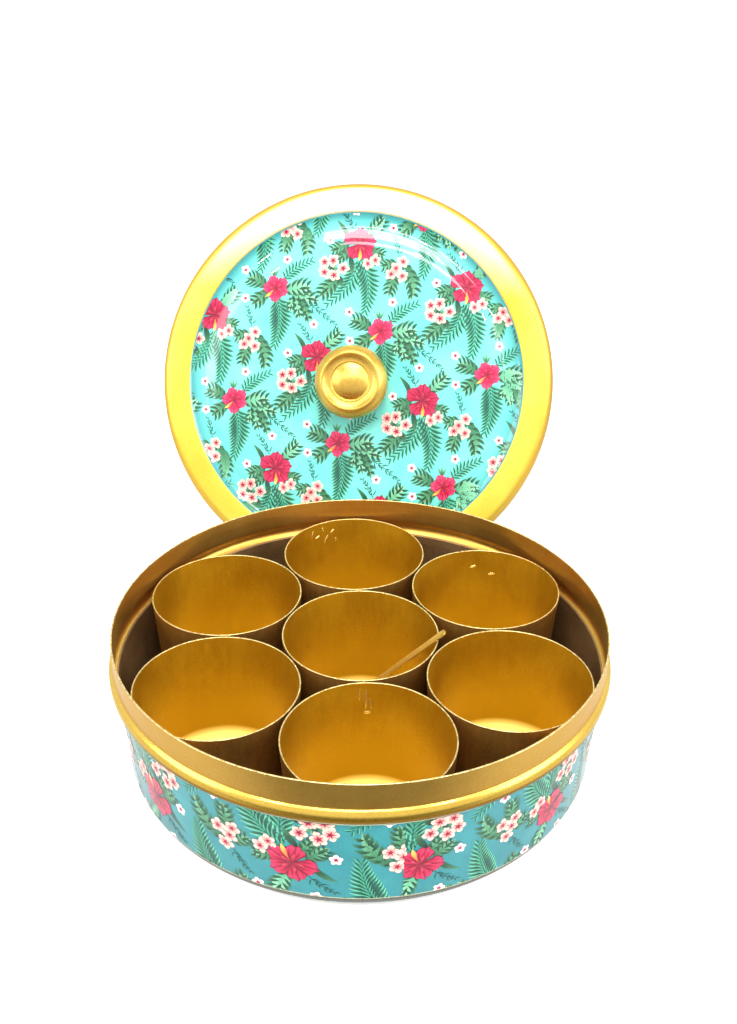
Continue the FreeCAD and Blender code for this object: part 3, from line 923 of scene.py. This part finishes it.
def make_pan():
    """The pan: flat base, widening wall, bead and plain neck with a cut rim."""
    foot_radius, foot = WALL_FOOT
    top_radius, top = WALL_TOP
    inside = NECK_RADIUS - PAN_SHEET
    points = section(
        (0.0, 0.0),
        (BASE_RADIUS, 0.0),
        ("arc", BASE_CORNER, 1),
        (foot_radius, foot),
        (top_radius, top, 0.5),
        ("arc", 4.0, 1),
        (NECK_RADIUS, NECK_FOOT, 1.3),
        (NECK_RADIUS, PAN_HEIGHT, 0.25),
        (inside, PAN_HEIGHT, 0.25),
        (inside, NECK_FOOT - 0.6, 0.5),
        ("arc", 3.3, -1),
        (top_radius - PAN_SHEET, top + 0.6, 0.6),
        (foot_radius - PAN_SHEET, foot),
        ("arc", BASE_CORNER - PAN_SHEET, -1),
        (BASE_RADIUS, PAN_SHEET),
        (0.0, PAN_SHEET),
    )
    pan = turn("pan_body", points, 300)
    golds = [GOLD_PAN, GOLD_INSIDE_SHADED, EDGE, FOOT_SHADE, GOLD_BEAD_LIT_AND_SHADED]
    paint(pan, golds)
    for face in pan.data.polygons:
        radius = math.hypot(face.center.x, face.center.y) / MM
        height = face.center.z / MM
        inward = faces_inward(face)
        # Faces take the cut rim's paler gold, the foot's painted shade, the bead's gold with painted
        # highlight and shade, and the inside's painted shade.
        if height > PAN_HEIGHT - 0.3:
            face.material_index = golds.index(EDGE)
        elif not inward and height < WRAP_LOW + 0.5 and face.normal.z < 0.5:
            face.material_index = golds.index(FOOT_SHADE)
        elif not inward and top < height < NECK_FOOT:
            face.material_index = golds.index(GOLD_BEAD_LIT_AND_SHADED)
        elif (inward or face.normal.z > 0.5) and radius < top_radius and height < top + 1.3:
            face.material_index = golds.index(GOLD_INSIDE_SHADED)
    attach(pan, "pan")
    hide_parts("pan")


def wrap_radius(height):
    """The outside of the printed wrap at a height, on the sloping wall or round the base corner."""
    foot_radius, foot = WALL_FOOT
    top_radius, top = WALL_TOP
    if height < foot:
        return BASE_RADIUS + math.sqrt(BASE_CORNER**2 - (BASE_CORNER - height) ** 2) + WRAP_THICK
    return foot_radius + (top_radius - foot_radius) * (height - foot) / (top - foot) + WRAP_THICK


def make_wrap():
    """The printed wrap: the film and the inks on it."""
    foot_radius, foot = WALL_FOOT
    top_radius, top = WALL_TOP
    points = section(
        (wrap_radius(WRAP_LOW) - WRAP_THICK, WRAP_LOW),
        (wrap_radius(WRAP_LOW), WRAP_LOW, 0.08),
        ("arc", BASE_CORNER + WRAP_THICK, 1),
        (wrap_radius(foot), foot),
        (wrap_radius(WRAP_HIGH), WRAP_HIGH, 0.08),
        (wrap_radius(WRAP_HIGH) - WRAP_THICK, WRAP_HIGH),
    )
    wrap = turn("side_print_film", points, 300)
    paint(wrap, [SIDE_FILM])
    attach(wrap, "pan")
    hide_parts("side_print_wrap")

    tilt = math.atan2(top_radius - foot_radius, top - foot)
    # the print's own radius, which turns lengths along it into angles
    ring = 102.0

    def surface(spot, lift):
        angle = spot.x / ring - math.pi / 2
        x, y = math.cos(angle), math.sin(angle)
        out = Vector((x * math.cos(tilt), y * math.cos(tilt), -math.sin(tilt)))
        radius = wrap_radius(spot.y)
        point = Vector((radius * x, radius * y, spot.y)) + out * lift
        return point, out

    def keep(spot, low, high):
        held = Vector((min(max(spot.x, low), high), min(max(spot.y, WRAP_LOW + 0.5), WRAP_HIGH - 0.5)))
        return held, (held - spot).length > 1e-6

    # two lengths of film, both upside down, that meet at a seam right of the middle and one at the back
    half_way = math.pi * ring
    seam = 17.0
    placings = []
    for low, high, flower, scale in ((-half_way, seam, -24.0, 1.06), (seam, half_way, 23.0, 0.975)):
        spin = Matrix.Rotation(math.radians(199.5), 2) * scale
        for i in range(-7, 8):
            for j in range(-1, 3):
                offset = Vector((flower, 24.5)) - spin @ LARGE + spin @ (CELL[0] * i + CELL[1] * j)
                placings.append((spin, offset, low, high))
    inks = lay_print("side_print_inks", placings, surface, keep, Matrix.Identity(4))
    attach(inks, "pan")


# ---------------------------------------------------------------- cups


def make_cups():
    """The seven cups, in the pan."""
    foot_radius, foot = CUP_WALL_FOOT
    rim_radius, rim = CUP_RIM
    points = section(
        (0.0, 0.0),
        (CUP_FLOOR_RADIUS, 0.0),
        ("arc", CUP_CORNER, 1),
        (foot_radius, foot),
        (rim_radius, rim, 0.22),
        (rim_radius - CUP_SHEET, rim, 0.22),
        (foot_radius - CUP_SHEET, foot),
        ("arc", CUP_CORNER - CUP_SHEET, -1),
        (CUP_FLOOR_RADIUS, CUP_SHEET),
        (0.0, CUP_SHEET),
    )
    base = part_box("cup_centre")[0][2]
    for number, name in enumerate(CUPS):
        spot = middle(name) * MM
        cup = turn(f"{name}_shell", points, 168, origin=(spot.x, spot.y, base))
        golds = [GOLD_CUPS[number], EDGE, GOLD_CUP_OUTSIDE_SHADED]
        paint(cup, golds)
        for face in cup.data.polygons:
            if face.center.z / MM > rim - 0.25:
                face.material_index = golds.index(EDGE)
            # outsides in the darker gold, painted shade in the gaps
            elif not faces_inward(face) and face.normal.z < 0.5:
                face.material_index = golds.index(GOLD_CUP_OUTSIDE_SHADED)
        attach(cup, name)
        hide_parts(name)


# Hardened drips of paint inside three cups: (angle, height, half length, half width, slant), with angles in
# degrees.
DRIPS = {
    "cup_front": [
        (92.0, 48.0, 4.6, 0.45, 90.0),
        (96.5, 50.5, 3.0, 0.35, 88.0),
        (88.5, 46.0, 2.6, 0.4, 92.0),
        (91.0, 41.6, 1.5, 0.7, 0.0),
    ],
    "cup_back_right": [(94.6, 47.0, 1.6, 0.55, 12.0), (78.4, 43.4, 1.7, 0.6, 14.0)],
    "cup_back": [
        (131.0, 51.0, 2.2, 0.4, 70.0),
        (126.0, 48.5, 1.5, 0.5, 20.0),
        (120.0, 52.0, 1.2, 0.4, 110.0),
        (117.0, 46.5, 2.6, 0.45, 60.0),
        (111.0, 50.0, 1.4, 0.5, 35.0),
        (108.0, 45.0, 1.1, 0.4, 95.0),
    ],
}


def make_drips():
    """Small raised drips on the inside of the cup walls."""
    foot_radius, foot = CUP_WALL_FOOT
    rim_radius, rim = CUP_RIM
    slant_out = (rim_radius - foot_radius) / (rim - foot)
    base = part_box("cup_centre")[0][2]
    for name, marks in DRIPS.items():
        spot = middle(name) * MM
        verts, faces = [], []
        for angle, height, reach, half, slant in marks:
            first = len(verts)
            slope = math.radians(slant)
            for i in range(9):
                u = i / 4 - 1
                for j in range(5):
                    v = j / 2 - 1
                    wide = half * v * math.sqrt(max(1 - u * u, 0.02))
                    across = reach * u * math.cos(slope) - wide * math.sin(slope)
                    rise = height + reach * u * math.sin(slope) + wide * math.cos(slope)
                    radius = foot_radius - CUP_SHEET + (rise - foot) * slant_out
                    turned = math.radians(angle) - across / radius
                    radius -= 0.02 + 0.36 * (1 - u * u) * (1 - v * v)
                    verts.append((radius * math.cos(turned), radius * math.sin(turned), rise))
            for i in range(8):
                for j in range(4):
                    a = first + 5 * i + j
                    faces.append([a, a + 5, a + 6, a + 1])
        drips = put(f"{name}_paint_drips", verts, faces, origin=(spot.x, spot.y, base))
        # the drips' paler gold is partly a painted glint
        paint(drips, [GOLD_DRIP_GLINT])
        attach(drips, name)


# ---------------------------------------------------------------- lid

# Corners of the printed disc's top, from the screw hole out: dome, valley, and its edge under the rim.
DISC_TOP = [
    (SCREW_HOLE, DOME_TOP + PRINT_THICK),
    (72.0, 17.2 + PRINT_THICK),
    (81.0 + PRINT_THICK * 0.4, 14.9 + PRINT_THICK),
    (90.8, 17.5),
]


def disc_profile():
    """Points of the printed disc's top from the middle out."""
    inner, flat, edge, rim = DISC_TOP
    points = [inner]
    points += arc_points(inner, flat, 1850.8, -1, step=2.0)
    points.append(flat)
    points += arc_points(flat, edge, 20.8, -1, step=0.4)
    points.append(edge)
    points += arc_points(edge, rim, 9.5, 1, step=0.4)
    points.append(rim)
    return points


def make_lid():
    """The lid: the pressed sheet, the printed disc's film and the inks on it."""
    shell = section(
        (107.6, 0.0, 0.3),
        (106.5, 12.6),
        ("arc", 5.4, 1),
        (101.2, 18.0),
        ("arc", 60.0, 1),
        (91.3, 18.0, 0.6),
        (90.3, 17.0, 0.4),
        ("arc", 7.4, -1),
        (81.0, 14.9),
        ("arc", 20.0, 1),
        (72.0, 17.2),
        ("arc", 1850.0, 1),
        (SCREW_HOLE, DOME_TOP),
        (SCREW_HOLE, DOME_TOP - 0.7),
        ("arc", 1849.3, -1),
        (72.0, 16.5),
        ("arc", 19.3, -1),
        (80.72, 14.2),
        ("arc", 8.1, 1),
        (90.72, 16.58),
        (91.58, 17.3),
        (101.2, 17.3),
        ("arc", 4.7, -1),
        (105.8, 12.6),
        (106.64, 3.0, 0.1),
        (105.94, 3.0, 0.2),
        (106.2, 0.0, 0.3),
    )
    lid = turn("lid_sheet", shell, 320, LID)
    paint(lid, [GOLD_LID])
    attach(lid, "lid")
    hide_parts("lid_shell")

    top = disc_profile()
    under = section(
        (90.3, 17.0),
        ("arc", 7.4, -1),
        (81.0, 14.9),
        ("arc", 20.0, 1),
        (72.0, 17.2),
        ("arc", 1850.0, 1),
        (SCREW_HOLE, DOME_TOP),
    )
    disc = turn("lid_print_film", list(reversed(under)) + list(reversed(top)), 320, LID)
    disc.data.flip_normals()
    paint(disc, [LID_FILM])
    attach(disc, "lid")
    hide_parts("lid_print_disc")

    def height(radius):
        for (r0, z0), (r1, z1) in zip(top, top[1:]):
            if r0 <= radius <= r1:
                return z0 + (z1 - z0) / (r1 - r0) * (radius - r0)
        return top[-1][1]

    def surface(spot, lift):
        radius = max(spot.length, 1e-6)
        inner, outer = max(radius - 0.35, 2.3), min(radius + 0.35, 90.7)
        slope = (height(outer) - height(inner)) / (outer - inner)
        out = Vector((-slope * spot.x / radius, -slope * spot.y / radius, 1.0)).normalized()
        return Vector((spot.x, spot.y, height(radius))) + out * lift, out

    def keep(spot, low, high):
        radius = spot.length
        if radius > high:
            return spot * (high / radius), True
        if radius < low:
            return spot * (low / max(radius, 1e-6)), True
        return spot, False

    placings = []
    for i in range(-4, 5):
        for j in range(-4, 5):
            offset = Vector((13.0, 28.2)) + CELL[0] * i + CELL[1] * j
            placings.append((Matrix.Identity(2), offset, 14.0, 90.2))
    inks = lay_print("lid_print_inks", placings, surface, keep, LID)
    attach(inks, "lid")


def make_knob():
    """The knob, and the steel of the washer and screw behind it."""
    base = DOME_TOP + PRINT_THICK
    points = section(
        (2.05, base),
        (17.4, base, 0.3),
        (18.4, base + 1.3, 0.5),
        (18.4, base + 3.6),
        ("arc", 2.6, 1),
        (15.8, base + 6.2, 0.3),
        ("arc", 9.0, -1),
        (19.4, base + 12.4, 0.2),
        ("arc", 8.4, 1),
        (15.2, base + 19.0, 0.3),
        (14.4, base + 19.0, 0.3),
        ("arc", 6.0, -1),
        (11.0, base + 17.4, 0.3),
        (10.2, base + 17.4, 0.25),
        (9.7, base + 16.9, 0.2),
        ("arc", 18.8, 1),
        (0.0, base + 19.6),
        (0.0, base + 12.0),
        (2.05, base + 12.0),
    )
    knob = turn("knob_turned", points, 160, LID)
    paint(knob, [GOLD_KNOB])
    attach(knob, "lid")
    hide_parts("knob")
    for node in ("knob_washer", "knob_screw"):
        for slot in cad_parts[node].material_slots:
            slot.material = STEEL


# ---------------------------------------------------------------- spoon


def make_spoon():
    """A small spoon: an oval bowl that runs into a flat handle, widening to a rounded end."""
    along = Vector(
        (
            -math.cos(SPOON_HEADING) * math.cos(SPOON_LEAN),
            -math.sin(SPOON_HEADING) * math.cos(SPOON_LEAN),
            math.sin(SPOON_LEAN),
        )
    )
    side = Vector((math.sin(SPOON_HEADING), -math.cos(SPOON_HEADING), 0.0))
    up = along.cross(side)
    matrix = Matrix((along, side, up)).transposed().to_4x4()
    matrix.translation = (SPOON_END - along * SPOON_REACH) * MM

    # rows across the spoon: (place along it, half width, depth of its hollow)
    rows = []
    for k in range(22):
        t = math.pi * (1 - k / 24)
        rows.append((10.4 * math.cos(t), max(7.6 * math.sin(t), 0.15), 4.5 * abs(math.sin(t)) ** 1.4))
    last_x, last_half, last_depth = rows[-1]
    for k in range(1, 9):
        t = k / 8
        ease = t * t * (3 - 2 * t)
        left = (1 - ease) ** 2
        x = last_x + (HANDLE_START - last_x) * t
        rows.append((x, last_half * left + HANDLE_NECK_HALF * (1 - left), last_depth * left + 0.25))
    straight_end = HANDLE_END - HANDLE_END_ROUND
    for k in range(1, 30):
        t = k / 29
        rows.append((HANDLE_START + (straight_end - HANDLE_START) * t, HANDLE_NECK_HALF + 0.6 * t, 0.25))
    end_half = rows[-1][1]
    for k in range(1, 7):
        t = k / 6 * math.pi / 2
        x = straight_end + HANDLE_END_ROUND * math.sin(t)
        rows.append((x, max(end_half * math.cos(t), 0.12), 0.25 * math.cos(t)))
    cols = 15
    verts, faces = [], []
    for x, half, depth in rows:
        for layer in (0, 1):
            for j in range(cols):
                s = 2 * j / (cols - 1) - 1
                dish = -depth * (1 - s * s) if depth > 0.3 else -0.12 * (1 - s * s)
                z = dish - (0.02 if layer == 0 else 0.6)
                inset = 1.0 if layer == 0 else 0.94
                verts.append((x, half * s * inset, max(z, -4.58)))
    stride = 2 * cols
    for i in range(len(rows) - 1):
        a, b = i * stride, (i + 1) * stride
        for j in range(cols - 1):
            faces.append([a + j, b + j, b + j + 1, a + j + 1])
            faces.append([a + cols + j, a + cols + j + 1, b + cols + j + 1, b + cols + j])
        faces.append([a, a + cols, b + cols, b])
        faces.append([a + cols - 1, b + cols - 1, b + 2 * cols - 1, a + 2 * cols - 1])
    last = (len(rows) - 1) * stride
    for j in range(cols - 1):
        faces.append([j, j + 1, cols + j + 1, cols + j])
        faces.append([last + j, last + cols + j, last + cols + j + 1, last + j + 1])
    spoon = put("spoon_pressed", verts, faces, matrix, sharp=50)
    paint(spoon, [GOLD_SPOON])
    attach(spoon, "spoon")
    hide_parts("spoon")


# ---------------------------------------------------------------- stage, light, camera


def make_stage():
    """A pale paper floor, seen by the camera but not in the gold."""
    size = 6000.0
    corners = [(-size, -size, 0), (size, -size, 0), (size, size, 0), (-size, size, 0)]
    floor = put("floor", corners, [[0, 1, 2, 3]])
    floor.location.z = -0.02 * MM
    n = Nodes("floor_paper")
    grain = n.noise(n.place(), 0.01, 3.0, 0.5)
    n.set(
        base=n.ramp(grain, [(0.3, "#f6f6f6"), (0.7, "#fafafa")]),
        rough=0.9,
        emission=(1.0, 1.0, 1.0, 1.0),
        emission_strength=0.45,
    )
    paint(floor, [n.material])
    floor.visible_glossy = False


def lamp(name, target, away, distance, power, size, size_y=None):
    """An area light of some watts that looks at target from a direction: a disc, or a rectangle."""
    data = bpy.data.lights.new(name, "AREA")
    data.shape = "RECTANGLE" if size_y else "DISK"
    data.size = size * MM
    if size_y:
        data.size_y = size_y * MM
    data.energy = power
    thing = stand(name, data)
    away = Vector(away).normalized()
    thing.location = (Vector(target) + away * distance) * MM
    thing.rotation_mode = "QUATERNION"
    thing.rotation_quaternion = away.to_track_quat("Z", "Y")


def smooth_range(tree, source, low, high, to_low, to_high):
    """source from low..high to to_low..to_high, eased and held at the ends."""
    made = tree.nodes.new("ShaderNodeMapRange")
    made.interpolation_type = "SMOOTHSTEP"
    for index, number in enumerate((low, high, to_low, to_high), start=1):
        made.inputs[index].default_value = number
    tree.links.new(source, made.inputs[0])
    return made.outputs[0]


def make_light():
    """A pale room, darker low down in front of the box, soft boxes round it and three small lamps."""
    world = bpy.data.worlds.new("studio")
    bpy.context.scene.world = world
    world.use_nodes = True
    tree = world.node_tree
    tree.nodes.clear()
    out = tree.nodes.new("ShaderNodeOutputWorld")
    back = tree.nodes.new("ShaderNodeBackground")
    coords = tree.nodes.new("ShaderNodeTexCoord")
    split = tree.nodes.new("ShaderNodeSeparateXYZ")
    ramp = tree.nodes.new("ShaderNodeValToRGB")
    shift = tree.nodes.new("ShaderNodeMath")
    shift.operation = "MULTIPLY_ADD"
    shift.inputs[1].default_value = 0.5
    shift.inputs[2].default_value = 0.5
    tree.links.new(coords.outputs["Generated"], split.inputs[0])
    tree.links.new(split.outputs["Z"], shift.inputs[0])
    tree.links.new(shift.outputs[0], ramp.inputs[0])
    # brightness from straight down to straight up
    stops = [(0.0, 0.70), (0.13, 0.78), (0.21, 1.40), (0.32, 0.90)]
    stops += [(0.40, 0.80), (0.5, 0.90), (0.62, 0.95), (1.0, 0.85)]
    set_stops(ramp, [(position, (value,) * 3 + (1.0,)) for position, value in stops])
    front = smooth_range(tree, split.outputs["Y"], -0.34, -0.80, 1.0, 0.12)
    low = smooth_range(tree, split.outputs["Z"], 0.05, -0.35, 0.0, 1.0)
    dim = tree.nodes.new("ShaderNodeMix")
    dim.data_type = "FLOAT"
    dim.inputs[2].default_value = 1.0
    tree.links.new(low, dim.inputs[0])
    tree.links.new(front, dim.inputs[3])
    tree.links.new(ramp.outputs[0], back.inputs["Color"])
    tree.links.new(dim.outputs[0], back.inputs["Strength"])
    tree.links.new(back.outputs[0], out.inputs["Surface"])
    whole, lid = (0.0, 60.0, 60.0), (0.0, 180.0, 100.0)
    lamp("overhead_softbox", whole, (0.0, -0.15, 1.0), 1500, 24, 1000, 600)
    lamp("front_softbox", whole, (0.0, -1.0, 1.4), 1600, 7, 800, 220)
    lamp("left_softbox", whole, (-1.0, -0.35, 0.55), 1500, 9, 800, 800)
    lamp("right_softbox", whole, (1.0, -0.35, 0.55), 1500, 12, 800, 800)
    lamp("lamp_a", lid, (0.05, -0.55, 0.84), 1400, 2.4, 60)
    lamp("lamp_b", lid, (0.42, -0.62, 0.66), 1400, 2.2, 60)
    lamp("lamp_c", lid, (-0.42, -0.62, 0.66), 1400, 2.0, 60)


def make_camera():
    """The camera, a little above the box and in front of it."""
    data = bpy.data.cameras.new("camera")
    data.sensor_width = 36.0
    data.lens = 37.92
    data.clip_start = 0.01
    data.clip_end = 30.0
    thing = stand("camera", data)
    pitch, roll = math.radians(28.457), math.radians(0.505)
    right = Vector((1.0, 0.0, 0.0))
    up = Vector((0.0, math.sin(pitch), math.cos(pitch)))
    right, up = right * math.cos(roll) + up * math.sin(roll), up * math.cos(roll) - right * math.sin(roll)
    matrix = Matrix((right, up, right.cross(up))).transposed().to_4x4()
    matrix.translation = Vector((3.01, -381.68, 322.11)) * MM
    thing.matrix_world = matrix
    bpy.context.scene.camera = thing


make_camera()
make_pan()
make_wrap()
make_cups()
make_drips()
make_lid()
make_knob()
make_spoon()
make_stage()
make_light()
bpy.context.scene.view_settings.view_transform = "Standard"
